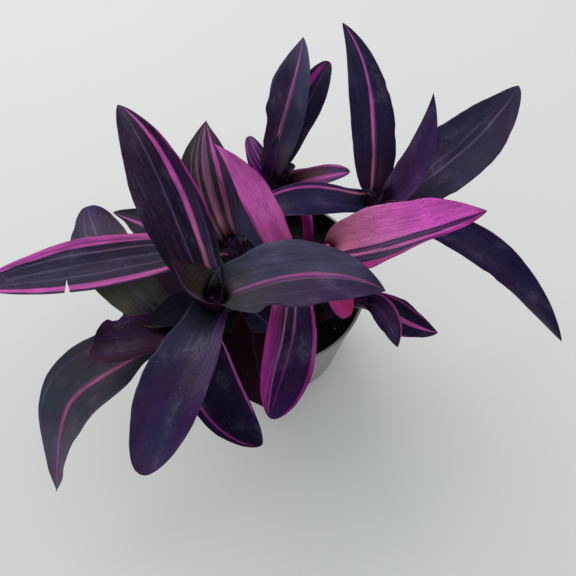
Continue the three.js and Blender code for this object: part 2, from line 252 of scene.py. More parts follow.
# Each leaf: its name, stem, place on it (0 to 1), heading in degrees, reach outward and climb of the
# tip, height of its arch, sideways bow (to the left of the heading) and width, with what shapes it
# further. Lengths in millimetres. The last leaf, front_tucked, is in the dressed model alone.
LEAVES = (
    ("front_up", "front", 1, 119, 79, 40, 12, -2, 26, dict(tip=0.75)),
    ("front_right", "front", 1, 2, 72, 3, 12, 7, 31, dict(tip=0.85)),
    ("front_down", "front", 0.95, -110, 77, 2, 10, 2, 26, dict(tip=0.5, widest=0.58, neck=0.4)),
    ("front_young", "front", 1, 160, 15, 26, 0, 0, 20, dict(cup=1.2)),
    ("front_side", "front", 0.8, -164, 36, 2, 5, 0, 18, {}),
    ("front_low", "front", 0.22, -80, 50, -20, 10, -4, 26, {}),
    ("front_inner", "front", 0.45, -39, 17, -4, 6, 0, 20, {}),
    ("left_up", "left", 1, 129, 75, 10, 10, 9, 28, dict(tip=0.5, widest=0.6)),
    ("left_round", "left", 1, -164, 39, 4, 8, 7, 25, dict(tip=0.45, widest=0.7, neck=0.35, cup=0.8)),
    ("left_long", "left", 0.7, -135, 110, -52, 24, -12, 33,
     dict(pull=4, crest=0.65, widest=0.48, neck=0.25, tip=1.15)),
    ("left_slip", "left", 0.75, -176, 34, 10, 4, 0, 17, dict(tip=0.6)),
    ("left_low", "left", 0.6, -65, 65, -32, 10, -14, 28, dict(tip=0.62)),
    ("centre_long", "centre", 0.9, -166, 119, 16, 8, 3, 27, dict(widest=0.56, neck=0.4)),
    ("centre_low", "centre", 0.6, 163, 69, 9, 8, 0, 20, {}),
    ("centre_striped", "centre", 1, 103, 48, 32, 8, 5, 20, dict(widest=0.55, tip=0.95)),
    ("centre_small", "centre", 0.5, 109, 21, -2, 4, 0, 16, {}),
    ("middle_pink", "middle", 1, 133, 43, 44, 8, -3, 16, dict(neck=0.65, tip=1)),
    ("middle_behind", "middle", 0.6, 126, 54, 16, 2, 2, 15, {}),
    ("middle_down", "middle", 0.75, -96, 72, -20, 16, 9, 25, dict(tip=0.6, widest=0.62, neck=0.35)),
    ("back_tall", "back", 1, 74, 47, 54, 8, -2, 21, dict(widest=0.5)),
    ("back_second", "back", 0.95, 61, 48, 44, 6, 2, 18, dict(tip=0.5, widest=0.6)),
    ("back_small", "back", 0.8, 133, 31, 19, 6, 6, 13, dict(tip=0.5)),
    ("back_right", "back", 0.85, -3, 30, 21, 5, 1, 12, dict(tip=0.5)),
    ("back_young", "back", 1, 78, 8, 32, 0, 0, 9, dict(cup=1)),
    ("back_stub", "back", 0.8, 50, 3, 22, 3, 3, 12, dict(tip=0.6)),
    ("across", "right_back", 0.85, -172, 60, 15, 11, -2, 18, dict(widest=0.6, tip=0.6)),
    ("tall", "right_back", 0.92, 106, 71, 51, 8, -7, 20, dict(lead=1, neck=0.75)),
    ("folded", "right_back", 1, 63, 35, 44, 2, -6, 18, dict(cup=0.9, widest=0.3, tip=1, neck=0.8)),
    ("broad", "right_back", 1, 40, 83, 23, 4, -9, 29, dict(tip=0.72, widest=0.5, neck=0.7)),
    ("drooping", "right_back", 0.85, -32, 110, -24, 22, 8, 18, {}),
    ("right_pink", "right", 1, 7, 72, 22, 15, -9, 30, dict(widest=0.4, neck=0.6)),
    ("right_nub", "right", 0.7, -61, 27, -9, 6, 0, 14, dict(cup=0.7, tip=0.45, widest=0.6)),
    ("low_long", "right_low", 1, -19, 43, -12, 3, -5, 18, {}),
    ("low_folded", "right_low", 1, -52, 30, -6, 8, 2, 14, dict(cup=0.9)),
    ("front_tucked", "front", 0.5, 163, 50, 4, 5, 0, 22, dict(tip=0.6)),
)

# How each leaf is coloured: along it from base to tip, its underside, how strongly its marks show,
# and its stripes. A stripe: place across at the base and at the tip (-1 is the left edge), half
# width, strength, where along the leaf it starts and ends, and its colour, or its colours at the
# base and at the tip.
LOOKS = {
    "front_up": dict(along=(TEAL, GRAPE, GRAPE), thread=0.2, stripes=(
        (0.3, 0.62, 0.07, 1, 0, 1, DUSTY, PINK), (-0.17, 0.1, 0.015, 0.6, 0.1, 1, PALE),
        (0.42, 0.74, 0.015, 0.5, 0, 0.9, PALE, PLUM), (0.52, 0.82, 0.02, 0.5, 0, 0.9, PALE, PLUM),
        (0.66, 0.9, 0.04, 0.5, 0, 0.8, PALE, PLUM), (0.97, 0.97, 0.03, 0.7, 0.3, 1, MAGENTA))),
    # front_right: the pale blue-grey band over its left half, from a fifth to nine tenths of its length,
    # is painted light.
    "front_right": dict(along=(MOSS, STEEL, STEEL), dull=0.6, stripes=(
        (0.14, -0.15, 0.035, 0.95, 0.12, 1, MAUVE, ORCHID), (0.28, -0.06, 0.02, 0.8, 0.08, 0.92, MAUVE),
        (0.2, -0.1, 0.08, 0.45, 0.1, 0.95, PLUM), (0.6, 0.4, 0.012, 0.4, 0.3, 0.9, PALE),
        (0.55, 0.6, 0.42, 0.6, 0.05, 1, OLIVE, DUSK), (-0.5, -0.5, 0.45, 0.45, 0.2, 0.9, LIT_HAZE))),
    "front_down": dict(along=(TEAL, SLATE, STEEL), vein=0.05, thread=0.05, bloom_and_glint=0.17, stripes=(
        (-0.82, -0.75, 0.24, 0.5, 0, 1, PLUM), (-0.6, -0.55, 0.015, 0.4, 0, 0.8, PALE, PLUM),
        (-0.74, -0.68, 0.012, 0.3, 0, 0.8, PALE, PLUM), (-0.88, -0.82, 0.015, 0.35, 0, 0.8, PALE, PLUM),
        (0.5, 0.4, 0.5, 0.3, 0.5, 1, PLUM))),
    "front_young": dict(along=(OLIVE, OLIVE, MAROON), thread=0.2, stripes=(
        (0.97, 0.97, 0.03, 0.4, 0.1, 1, PALE, PLUM), (-0.88, -0.88, 0.14, 0.6, 0.05, 1, PALE, MAUVE))),
    # front_side is near black above and below: its dark indigo deepened to black as painted shade.
    "front_side": dict(along=(NIGHT, NIGHT, NIGHT), under=NIGHT, thread=0, vein=0, dull=2, bloom_and_glint=0,
                       stripes=((-0.6, -0.6, 0.02, 0.4, 0, 0.6, PLUM),)),
    # front_tucked is dark wine above and below as painted shade, filling a shaded gap among the low
    # leaves.
    "front_tucked": dict(along=(WINE, WINE, MAROON), under=WINE, thread=0, dull=1, bloom_and_glint=0),
    # front_low is near-black claret: its own dark red deepened as painted shade.
    "front_low": dict(along=(CLARET, CLARET, CLARET), dull=1, thread=0, bloom_and_glint=0, stripes=(
        (0, 0, 0.015, 0.3, 0, 1, PALE),)),
    "front_inner": dict(along=(NIGHT, INK, INDIGO), dull=1, stripes=(
        (0, 0, 0.03, 0.7, 0, 1, PALE),)),
    # left_up: darker at its base as painted shade, with a band of pale olive from a fifth to three fifths
    # of its length as painted light.
    "left_up": dict(along=(OLIVE, MOSS, DUSK), thread=0.3, stripes=(
        (0, 0, 1.2, 0.55, 0.2, 0.6, LIT_LICHEN), (0, 0, 0.03, 0.8, 0, 1, PALE),
        (0.96, 0.94, 0.05, 0.7, 0.2, 0.7, PLUM, MAGENTA), (-0.4, -0.35, 0.015, 0.6, 0, 1, PALE),
        (0.45, 0.4, 0.015, 0.6, 0, 1, PALE, PLUM))),
    "left_round": dict(along=(OLIVE, MAROON, MAROON), vein=0.8, dull=0.5, stripes=(
        (0.9, 0.85, 0.15, 0.4, 0.2, 0.9, PLUM), (0.2, 0.3, 0.12, 0.35, 0.3, 1, PLUM))),
    # left_long: the blue-grey in its middle and the paler blue-grey at its tip are painted sheen.
    "left_long": dict(along=(OLIVE, SHEEN_PEWTER, LIT_HAZE), worn=0.6, dull=0.3, stripes=(
        (-0.28, 0.02, 0.04, 0.85, 0.1, 1, DUSTY, ORCHID), (-0.2, 0.12, 0.02, 0.5, 0.1, 1, PALE),
        (0.78, 0.8, 0.015, 0.5, 0.2, 0.9, PALE), (-0.5, -0.1, 0.3, 0.3, 0.65, 1, VIOLET),
        (-0.97, -0.96, 0.03, 0.5, 0.3, 1, PALE))),
    "left_slip": dict(along=(PLUM, PLUM, VIOLET)),
    "left_low": dict(along=(NIGHT, INK, INK), vein=0.05, thread=0.05, stripes=(
        (0.7, 0.75, 0.035, 0.9, 0.1, 1, ROSE, MAGENTA), (-0.96, -0.93, 0.04, 0.9, 0.1, 0.8, ROSE, PINK),
        (-0.8, -0.8, 0.1, 0.35, 0.2, 0.9, PLUM))),
    "centre_long": dict(along=(MOSS, SLATE, SLATE), thread=0.3, dull=0.5, stripes=(
        (0.84, 0.86, 0.14, 0.95, 0.1, 1, ROSE, PINK), (-0.8, -0.78, 0.1, 0.95, 0.05, 1, ROSE, PINK),
        (0.45, 0.5, 0.02, 0.7, 0.05, 0.9, TAN, PALE), (0.1, 0.05, 0.035, 0.5, 0.1, 0.9, PALE),
        (-0.3, -0.35, 0.015, 0.6, 0.1, 0.9, PALE), (0.8, 0.84, 0.015, 0.8, 0.3, 1, PLUM))),
    "centre_low": dict(along=(NIGHT, INK, NIGHT), stripes=(
        (-0.6, -0.5, 0.12, 0.9, 0, 1, ROSE, PINK),)),
    "centre_striped": dict(along=(MOSS, OLIVE, OLIVE), vein=0.5, thread=0.5, worn=0.5, stripes=(
        (-0.08, -0.08, 0.16, 0.9, 0, 1, DUSTY, MAUVE), (0.02, 0, 0.02, 0.7, 0, 0.9, OLIVE, UMBER),
        (-0.55, -0.5, 0.05, 0.6, 0, 1, TAN, MAUVE), (0.46, 0.5, 0.1, 0.9, 0, 1, DUSTY, PINK),
        (-0.85, -0.8, 0.03, 0.6, 0.1, 0.9, TAN, MAUVE), (0.86, 0.86, 0.22, 0.7, 0, 1, VIOLET))),
    "centre_small": dict(along=(NIGHT, WINE, WINE), stripes=((0, 0, 0.04, 0.7, 0, 1, PALE),)),
    "middle_pink": dict(along=(BERRY, ORCHID, ORCHID), vein=0.8, thread=0, stripes=(
        (-0.9, -0.9, 0.08, 0.5, 0, 0.6, MAROON, PLUM), (0.97, 0.97, 0.03, 0.7, 0, 1, MAGENTA),
        (0.2, 0.2, 0.35, 0.35, 0, 0.4, MAGENTA))),
    "middle_behind": dict(along=(SLATE, STEEL, PLUM), stripes=(
        (0.4, 0.3, 0.06, 0.5, 0, 1, ROSE, PLUM), (-0.1, -0.1, 0.03, 0.5, 0, 1, PALE, PLUM))),
    "middle_down": dict(along=(OLIVE, INDIGO, PLUM), vein=0.5, thread=0.2, worn=0.6, stripes=(
        (0.74, 0.84, 0.33, 1, 0.05, 1, CERISE, MAGENTA), (0.4, 0.5, 0.3, 0.7, 0, 0.5, OLIVE, MAROON),
        (0.4, 0.6, 0.08, 0.6, 0.1, 0.95, PLUM), (0.15, 0.57, 0.025, 0.8, 0.05, 1, TAN, MAUVE),
        (-0.33, 0.25, 0.035, 0.7, 0.05, 1, TAN, MAGENTA),
        (-0.95, -0.94, 0.09, 1, 0.1, 1, PINK, MAGENTA))),
    # back_tall: the paler blue-grey towards its tip is painted light.
    "back_tall": dict(along=(UMBER, STEEL, LIT_HAZE), vein=0.3, thread=0.2, worn=0.6, stripes=(
        (-0.25, 0, 0.04, 0.85, 0, 1, TAN, ROSE), (-0.12, 0.08, 0.02, 0.6, 0, 0.9, TAN, PINK),
        (-0.45, -0.15, 0.015, 0.5, 0, 0.8, TAN, PALE), (-0.62, -0.6, 0.42, 0.7, 0, 0.85, MAROON))),
    "back_second": dict(along=(INK, INK, SLATE), stripes=(
        (-0.5, -0.45, 0.2, 0.9, 0.6, 1, PINK, MAGENTA), (0.1, 0.1, 0.02, 0.5, 0.3, 1, PALE))),
    "back_small": dict(along=(SLATE, PLUM, VIOLET), thread=0.4, stripes=(
        (-0.85, -0.75, 0.12, 0.8, 0, 1, PINK, MAGENTA), (0.1, 0.1, 0.08, 0.7, 0, 1, ROSE, PINK),
        (-0.3, -0.3, 0.04, 0.6, 0, 1, ROSE, PINK), (0.6, 0.5, 0.05, 0.6, 0, 1, ROSE, PINK))),
    "back_right": dict(along=(MAROON, UMBER, PLUM), worn=0.7, stripes=(
        (-0.85, -0.8, 0.1, 0.8, 0.1, 1, ROSE, PINK), (0.4, 0.35, 0.22, 0.9, 0.1, 1, ROSE, PINK),
        (0.75, 0.75, 0.05, 0.7, 0.1, 1, MAGENTA))),
    "back_young": dict(along=(PLUM, PLUM, INDIGO)),
    # back_stub: the paler blue-grey from its middle to its tip is painted light.
    "back_stub": dict(along=(STEEL, LIT_HAZE, LIT_HAZE)),
    "across": dict(along=(TEAL, INDIGO, INDIGO), stripes=(
        (0.72, 0.74, 0.07, 0.95, 0.05, 1, DUSTY, PINK), (0.92, 0.92, 0.12, 0.6, 0.2, 0.95, PLUM),
        (-0.3, -0.3, 0.02, 0.3, 0.1, 0.9, PALE, PLUM))),
    "tall": dict(along=(MAROON, SLATE, SLATE), stripes=(
        (-0.3, 0.3, 0.065, 1, 0, 1, DUSTY, PINK), (-0.16, 0.4, 0.015, 0.5, 0, 1, PALE),
        (0.8, 0.8, 0.2, 0.5, 0.1, 1, INDIGO))),
    "folded": dict(along=(VIOLET, VIOLET, DUSK), vein=0.3, worn=0.8, stripes=(
        (0, 0, 0.35, 0.4, 0.2, 1, PLUM),)),
    "broad": dict(along=(SLATE, SLATE, SLATE), dull=0.7, vein=0.05, stripes=(
        (-0.1, 0, 0.02, 0.7, 0.1, 1, PALE), (-0.35, -0.3, 0.01, 0.4, 0.1, 0.8, PALE))),
    "drooping": dict(along=(INDIGO, INDIGO, SLATE), thread=0.05, vein=0.05),
    "right_pink": dict(along=(INDIGO, INDIGO, PLUM), vein=0.8, worn=0, stripes=(
        (-0.41, -0.91, 0.8, 1, 0, 1, DUSTY, FUCHSIA), (0.6, 0.25, 0.045, 0.95, 0, 1, DUSTY, PINK),
        (1.5, 0.4, 0.3, 1, 0, 1, CERISE, MAGENTA), (0.5, 0.05, 0.01, 0.25, 0, 0.9, ROSE, PINK),
        (0.9, 0.28, 0.01, 0.2, 0, 0.9, ROSE, PLUM))),
    "right_nub": dict(along=(CERISE, CERISE, CERISE), vein=0.4, thread=0, dull=0.5),
    "low_long": dict(along=(NIGHT, INK, INDIGO), stripes=(
        (-0.1, 0, 0.14, 0.9, 0, 1, ROSE, PINK), (-0.94, -0.94, 0.04, 0.8, 0, 1, MAGENTA),
        (0.94, 0.94, 0.05, 0.9, 0, 1, MAGENTA))),
    "low_folded": dict(along=(NIGHT, DUSK, INDIGO), stripes=(
        (-0.92, -0.92, 0.07, 0.8, 0, 1, PINK), (0, 0, 0.02, 0.5, 0, 1, PALE),
        (0.4, 0.4, 0.02, 0.4, 0, 1, PALE))),
}

# Where a leaf's edge dips in or swells out: edge (-1 is the left one), place along the leaf, share of
# the half width that goes (below 0, that is added), and half length in millimetres.
DENTS = {
    "front_up": ((-1, 0.45, -0.06, 26),),
    "front_right": ((1, 0.36, 0.2, 5), (1, 0.24, -0.1, 5), (1, 0.47, 0.04, 3)),
    "front_down": ((-1, 0.5, 0.04, 4), (1, 0.42, 0.04, 3), (1, 0.55, -0.1, 22)),
    "front_low": ((1, 0.62, -0.36, 15), (-1, 0.7, 0.32, 14)),
    "left_up": ((-1, 0.92, 0.2, 9),),
    "left_round": ((1, 0.72, 0.14, 3), (-1, 0.6, 0.06, 5)),
    "left_long": ((-1, 0.8, 0.22, 24), (1, 0.68, 0.12, 18), (-1, 0.96, -0.5, 12), (1, 0.96, -0.25, 12),
                  (-1, 0.18, 0.42, 17), (1, 0.36, -0.12, 18)),
    "centre_long": ((-1, 0.65, 0.33, 0.7), (-1, 0.655, 0.32, 0.5)),
    "centre_low": ((-1, 0.65, -0.7, 14), (1, 0.8, 0.2, 12)),
    "centre_striped": ((1, 0.38, -0.2, 9), (-1, 0.6, -0.38, 15), (1, 0.8, -0.2, 9)),
    "middle_pink": ((1, 0.45, 0.08, 6),),
    "back_tall": ((-1, 0.42, 0.2, 6), (-1, 0.3, 0.08, 4), (-1, 0.8, -0.25, 12)),
    "back_second": ((1, 0.5, -0.15, 26),),
    "back_small": ((-1, 0.42, -0.55, 12),),
    "back_right": ((1, 0.68, -0.55, 12), (-1, 0.5, 0.1, 12)),
    "tall": ((1, 0.62, 0.04, 2), (1, 0.4, 0.03, 3), (-1, 0.42, -0.15, 32), (1, 0.14, 0.1, 10)),
    "broad": ((1, 0.3, 0.06, 3), (1, 0.62, 0.03, 4), (-1, 0.3, -0.2, 22), (-1, 0.5, -0.12, 32),
              (1, 0.82, 0.14, 15)),
    "drooping": ((1, 0.55, 0.08, 3), (1, 0.3, 0.06, 4), (-1, 0.5, -0.16, 44), (1, 0.86, -0.28, 18)),
    "right_pink": ((1, 0.85, 0.48, 34), (1, 0.28, -0.2, 9), (-1, 0.8, -0.1, 16)),
    "low_long": ((-1, 0.55, -0.08, 18), (1, 0.3, -0.3, 10), (1, 0.82, 0.14, 8)),
}

# Stripes as the finish reads them, and one that lies too far out to show
STRIPE_NAMES = tuple("stripe_" + letter for letter in "abcdef")
FAR_OUT = 9.0
NO_STRIPE = (FAR_OUT, FAR_OUT, 0, 0, 0, 1, PALE)
UNDER_STRIPE = 0.25

# Shares of a leaf's length over which a stripe comes up about its start, fades about its end and
# changes its tint, and over which the leaf's three tones meet
COME_UP = (-0.02, 0.12)
FADE_OUT = (-0.1, 0.03)
TINT_CHANGE = (0.05, 0.7)
TONE_CHANGES = ((0, 0.45), (0.5, 1))

# Marks: how strongly veins, pale threads, worn gaps in the stripes, dullness and pale patches show on a
# leaf whose look doesn't say, and on a stem. The pale patches are partly a waxy film and partly painted
# glints.
MARKS = {"vein": 0.12, "thread": 0.1, "worn": 0.3, "dull": 0, "bloom_and_glint": 0.13}
STEM_MARKS = {"vein": 0.3, "thread": 0.4, "worn": 0, "dull": 0.3, "bloom_and_glint": 0.1, "rim": 0}


def linear(colour):
    """An sRGB colour out of 255 as linear red, green and blue."""
    c = np.asarray(colour, float) / 255
    return np.where(c <= 0.04045, c / 12.92, ((c + 0.055) / 1.055) ** 2.4)


def opaque(colour):
    return (*linear(colour), 1)


def smooth(low, high, x):
    t = np.clip((np.asarray(x, float) - low) / (high - low), 0, 1)
    return t * t * (3 - 2 * t)


def blend(a, b, share):
    return a + (b - a) * share


def unit(v):
    return v / np.linalg.norm(v, axis=-1, keepdims=True)


def square_to(v, axis):
    """The vector's part that stands square to the axis, with length 1."""
    return unit(v - axis * np.sum(v * axis, axis=-1, keepdims=True))


def run_length(points):
    """How far along a line each of its points lies."""
    return np.concatenate([[0], np.cumsum(np.linalg.norm(np.diff(points, axis=0), axis=1))])


def stem_at(name, t):
    """The point and direction of a stem at a share of its length, or at several."""
    a, b, c = (np.array(p, float) for p in STEMS[name])
    t = np.asarray(t, float)[..., None]
    point = a * (1 - t) ** 2 + 2 * b * t * (1 - t) + c * t * t
    return point, unit(2 * (b - a) * (1 - t) + 2 * (c - b) * t)


def leaf_line(stem, at, heading, reach, climb, arch, bow, shape):
    """The leaf's middle line, with the direction to its right-hand edge carried along it."""
    centre, axis = stem_at(stem, at)
    turn = math.radians(heading)
    out = np.array([math.cos(turn), math.sin(turn), 0])
    left = np.array([-out[1], out[0], 0])
    up = np.array([0, 0, 1.0])
    away = square_to(out, axis)
    root = centre + away * ROOT_RADIUS - axis * ROOT_DEPTH
    lead = root + axis * shape["lead"]
    tip = centre + out * reach + up * climb
    bend = blend(centre, tip, shape["crest"]) + up * arch * BEND_REACH + left * bow * BEND_REACH
    t = np.linspace(0, 1, LINE_SAMPLES)[:, None]
    weights = ((1 - t) ** 3, 3 * t * (1 - t) ** 2, 3 * t * t * (1 - t) * shape["pull"], t ** 3)
    line = sum(w * p for w, p in zip(weights, (root, lead, bend, tip))) / sum(weights)
    along = unit(np.gradient(line, axis=0))
    sides = []
    side = -left
    for direction in along:
        side = square_to(side, direction)
        level = np.array([direction[1], -direction[0], 0])
        side = square_to(side + level * math.copysign(STEER, level @ side), direction)
        sides.append(side)
    return line, along, np.array(sides), away


def half_width(s, wide, shape):
    widest, neck = shape["widest"], shape["neck"]
    rising = neck + (1 - neck) * np.sin(math.pi / 2 * np.minimum(s / widest, 1)) ** NECK_POWER
    past = np.clip((s - widest) / (1 - widest), 0, 1)
    falling = np.maximum(TIP_WIDTH, np.maximum(0, np.cos(math.pi / 2 * past)) ** shape["tip"])
    return wide / 2 * np.where(s < widest, rising, falling)


def leaf_rows(name, long):
    """Where a leaf's rows of points lie, from 0 to 1: closer towards the tip and where it is torn."""
    s = np.linspace(0, 1, int(long * ROWS_PER_MM) + LEAST_ROWS + 1) ** ROW_SPREAD
    s = blend(s, 1 - (1 - s) ** TIP_CROWDING, 0.5)
    for _, place, _, half in DENTS.get(name, ()):
        if half < TEAR_SIZE:
            s = np.union1d(s, place + np.linspace(-TEAR_REACH, TEAR_REACH, TEAR_ROWS) * half / long)
    return s


def edge_line(name, index, s, mm, u):
    """Each point's true place across the leaf, with the small waves and dents of its two edges."""
    across = np.broadcast_to(u, (len(s), len(u))).copy()
    for side in (-1, 1):
        phase = index * EDGE_SHIFT + side
        waves = sum(high * np.sin(mm * turns + phase * share) for turns, share, high in EDGE_WAVES)
        stretch = EDGE_WOBBLE * waves / mm[-1]
        cut = np.zeros_like(s)
        for edge, place, depth, half in DENTS.get(name, ()):
            if edge == side:
                cut += depth * np.exp(-((s - place) * mm[-1] / half) ** 4)
        here = u * side > 0
        across *= (1 + stretch[:, None] * np.abs(u) ** 3 * here) * (1 - cut[:, None] * here)
    return across


def leaf_grid(leaf, index, nest):
    """Points, normals and thickness of a leaf's middle surface, as rows from its base to its tip."""
    name, *course, wide, changes = leaf
    shape = LEAF_SHAPE | changes
    line, along, sides, away = leaf_line(*course, shape)
    length = run_length(line)
    s = leaf_rows(name, length[-1])
    mm = s * length[-1]
    point, along, side = (np.stack([np.interp(mm, length, table[:, k]) for k in range(3)], axis=1)
                          for table in (line, along, sides))
    along = unit(along)
    side = square_to(side, along)
    normal = np.cross(side, along)
    sheath = SHEATH_RADIUS + SHEATH_STEP * nest
    point = point + away * ((sheath - ROOT_RADIUS) * (1 - smooth(SHEATH_LEAN, SHEATH_END, mm)))[:, None]
    blade = smooth(BASE_START, BASE_END, mm)
    flat = blend(smooth(SHEATH_SPREAD, SHEATH_END, mm), blade, 0.5)
    width = blend(sheath * SHEATH_CURL, half_width(s, wide, shape), flat)
    curl = np.minimum(blend(SHEATH_CURL, shape["cup"], flat), width / CURL_RADIUS)
    radius = width / curl
    wave = RIPPLE * wide * blade * (1 - s ** 4)
    u = np.linspace(-1, 1, CELLS_ACROSS + 1)
    turn = 2 * math.pi * RIPPLE_WAVES * s[:, None] + RIPPLE_SHIFT * index
    turn = turn + np.where(u > 0, math.pi * RIPPLE_LAG, 0)
    across = blend(u, edge_line(name, index, s, mm, u), blade[:, None])
    angle = curl[:, None] * across
    lift = radius[:, None] * (1 - np.cos(angle)) + wave[:, None] * u * u * np.sin(turn)
    lift -= (CREASE * blade * (1 - s))[:, None] * np.exp(-(u / CREASE_WIDTH) ** 2)
    points = (point[:, None] + side[:, None] * (radius[:, None] * np.sin(angle))[..., None]
              + normal[:, None] * lift[..., None])
    normals = normal[:, None] * np.cos(angle)[..., None] - side[:, None] * np.sin(angle)[..., None]
    thick = blend(EDGE_THICKNESS, BLADE_THICKNESS, 1 - np.abs(u) ** 3)
    thick = thick * blend(TIP_THINNESS, 1, smooth(0, TIP_SHARE, 1 - s))[:, None]
    grain = np.stack(np.broadcast_arrays(u * width[:, None], mm[:, None], index * LEAF_GRAIN), axis=-1)
    return points, normals, thick, s, u, across, grain


def three_tone(colours, s):
    """A colour that goes from the first to the second in the lower half and on to the third."""
    base, middle, tip = (linear(c) for c in colours)
    near, far = (smooth(*ends, s)[:, None] for ends in TONE_CHANGES)
    return blend(blend(base, middle, near), tip, far)


def leaf_paint(name, s, u, across):
    """What the leaf finish reads at each point of the grid: colours, stripes, veins and threads."""
    look = LOOKS[name]
    grid = (len(s), len(u))
    paint = {"leaf_colour": np.broadcast_to(three_tone(look["along"], s)[:, None], grid + (3,))}
    stripes = look.get("stripes", ()) + (NO_STRIPE,) * len(STRIPE_NAMES)
    for key, (low, high, half, force, start, end, *tints) in zip(STRIPE_NAMES, stripes):
        offset = across - blend(low, high, s)[:, None]
        shown = force * smooth(*COME_UP, s - start) * (1 - smooth(*FADE_OUT, s - end))
        tint = blend(linear(tints[0]), linear(tints[-1]), smooth(*TINT_CHANGE, s)[:, None])
        paint[key] = np.stack(np.broadcast_arrays(offset, shown[:, None], half), axis=-1)
        paint[key + "_tint"] = np.broadcast_to(tint[:, None], grid + (3,))
    for key, usual in MARKS.items():
        paint[key] = np.full(grid, float(look.get(key, usual)))
    paint["rim"] = np.broadcast_to(np.abs(u), grid)
    return paint


def new_object(name, data):
    made = bpy.data.objects.new(name, data)
    bpy.context.scene.collection.objects.link(made)
    return made


class Shell:
    """Gathers the closed meshes of one piece, with what its finish reads at each point."""

    def __init__(self):
        self.points = []
        self.faces = []
        self.count = 0
        self.paint = {}

    def add(self, points, faces, paint, *caps):
        flat = points.reshape(-1, 3)
        self.points.append(flat)
        for block in (faces, *caps):
            self.faces += (block + self.count).tolist()
        for key, values in paint.items():
            self.paint.setdefault(key, []).append(values)
        self.count += len(flat)

    def piece(self, name, finish):
        mesh = bpy.data.meshes.new(name)
        mesh.from_pydata((np.concatenate(self.points) * MM).tolist(), [], self.faces)
        for key, blocks in self.paint.items():
            values = np.concatenate(blocks)
            if values.ndim == 1:
                layer = mesh.attributes.new(key, "FLOAT", "POINT")
                layer.data.foreach_set("value", values.astype(np.float32))
            else:
                layer = mesh.attributes.new(key, "FLOAT_VECTOR", "POINT")
                layer.data.foreach_set("vector", values.astype(np.float32).ravel())
        mesh.shade_smooth()
        mesh.update()
        mesh.materials.append(finish)
        return new_object(name, mesh)


def grid_faces(rows, columns, closed=False):
    """Quads of a grid of points; closed joins the last column to the first."""
    cells = columns if closed else columns - 1
    row, j = np.meshgrid(np.arange(rows - 1) * columns, np.arange(cells), indexing="ij")
    k = (j + 1) % columns
    quads = np.stack([row + j, row + k, row + columns + k, row + columns + j], axis=-1)
    return quads.reshape(-1, 4)


def add_leaf(shell, leaf, index, nest):
    """A closed blade: its upper face, its underside and the narrow faces around its edge."""
    name = leaf[0]
    points, normals, thick, s, u, across, grain = leaf_grid(leaf, index, nest)
    half = normals * (thick / 2)[..., None]
    rows, columns = points.shape[:2]
    count = rows * columns
    both = np.concatenate([(points + half).reshape(-1, 3), (points - half).reshape(-1, 3)])
    top = grid_faces(rows, columns)
    low = top[:, ::-1] + count
    a = np.arange(rows - 1) * columns
    b = a + columns - 1
    left = np.stack([a, a + columns, a + columns + count, a + count], axis=1)
    right = np.stack([b + count, b + columns + count, b + columns, b], axis=1)
    j = np.arange(columns - 1)
    last = j + (rows - 1) * columns
    root = np.stack([j, j + count, j + 1 + count, j + 1], axis=1)
    tip = np.stack([last, last + 1, last + 1 + count, last + count], axis=1)
    paint = leaf_paint(name, s, u, across)
    under = dict(paint)
    below = linear(LOOKS[name].get("under", MAROON))
    under["leaf_colour"] = np.broadcast_to(below, paint["leaf_colour"].shape)
    for key in STRIPE_NAMES:
        under[key] = paint[key] * np.array([1, UNDER_STRIPE, 1])
    paint["grain"] = grain
    under["grain"] = grain + np.array([0, 0, UNDER_GRAIN])
    joined = {}
    for key, values in paint.items():
        sides = np.concatenate([values.reshape(count, -1), under[key].reshape(count, -1)])
        joined[key] = sides[:, 0] if sides.shape[1] == 1 else sides
    shell.add(both, np.concatenate([top, low, left, right, root, tip]), joined)


